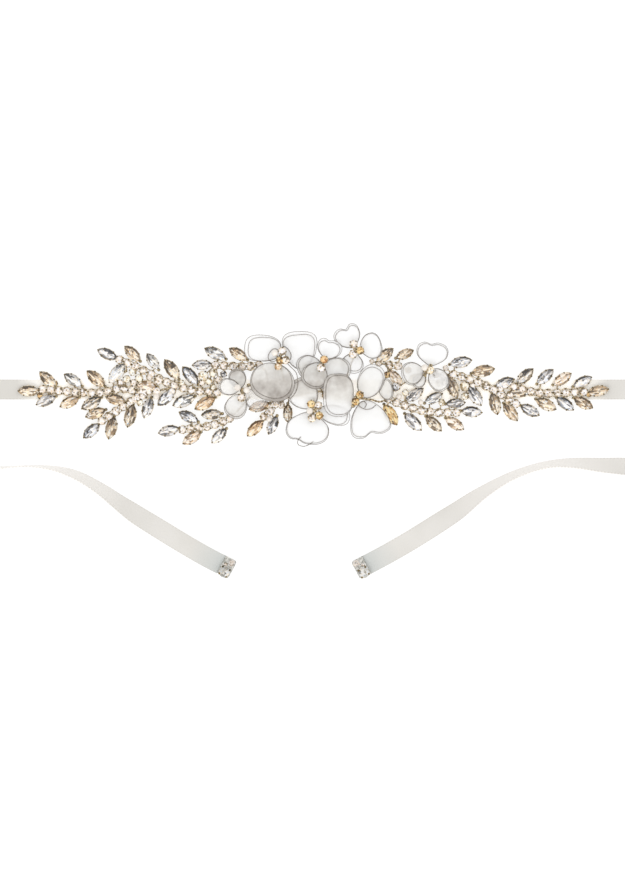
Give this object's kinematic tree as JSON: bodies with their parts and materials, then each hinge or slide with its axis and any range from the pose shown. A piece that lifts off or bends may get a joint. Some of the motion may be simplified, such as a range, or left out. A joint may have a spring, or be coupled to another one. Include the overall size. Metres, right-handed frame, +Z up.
{
  "type": "jewelled ribbon sash belt",
  "caption": "Narrow satin ribbon sash lying flat, with sprays of set crystal leaves and wire-edged organza flowers sewn along its front and metal caps on its loose ends.",
  "frame": {"origin": "centre of the underside of the ribbon's straight front stretch, on the surface that the sash lies on", "axes": "+X along the front stretch to its right end as seen from above, +Y across it away from the loose ends, +Z up out of the jewelled face"},
  "size_m": [0.8767, 0.2042, 0.0186],
  "materials": {
    "ribbon": "ivory satin ribbon with a fine woven edge",
    "petal": "sheer white organza with a beaded wire edge",
    "spray": "champagne and clear faceted crystals in pale gold cups",
    "heart": "pale gold cups holding crystals and pearls",
    "cap": "silver plate with clear crystals"
  },
  "bodies": {
    "root": {"ribbon_center": "ribbon", "ribbon_loop_left": "ribbon", "ribbon_loop_right": "ribbon", "ribbon_tail_left": "ribbon", "ribbon_tail_right": "ribbon", "end_cap_left": "cap", "end_cap_right": "cap", "spray_left_main": "spray", "spray_left_upper": "spray", "spray_left_lower": "spray", "spray_middle": "spray", "spray_right_upper": "spray", "spray_right_lower": "spray", "spray_right_main": "spray", "flower_1_heart": "heart", "flower_1_petal_1": "petal", "flower_1_petal_2": "petal", "flower_1_petal_3": "petal", "flower_1_petal_4": "petal", "flower_2_heart": "heart", "flower_2_petal_1": "petal", "flower_2_petal_2": "petal", "flower_2_petal_3": "petal", "flower_3_heart": "heart", "flower_3_petal_1": "petal", "flower_3_petal_2": "petal", "flower_3_petal_3": "petal", "flower_3_petal_4": "petal", "flower_4_heart": "heart", "flower_4_petal_1": "petal", "flower_4_petal_2": "petal", "flower_4_petal_3": "petal", "flower_5_heart": "heart", "flower_5_petal_1": "petal", "flower_5_petal_2": "petal", "flower_5_petal_3": "petal", "flower_5_petal_4": "petal", "flower_6_heart": "heart", "flower_6_petal_1": "petal", "flower_6_petal_2": "petal", "flower_6_petal_3": "petal", "flower_7_heart": "heart", "flower_7_petal_1": "petal", "flower_7_petal_2": "petal", "flower_7_petal_3": "petal", "flower_7_petal_4": "petal"}
  },
  "joints": []
}
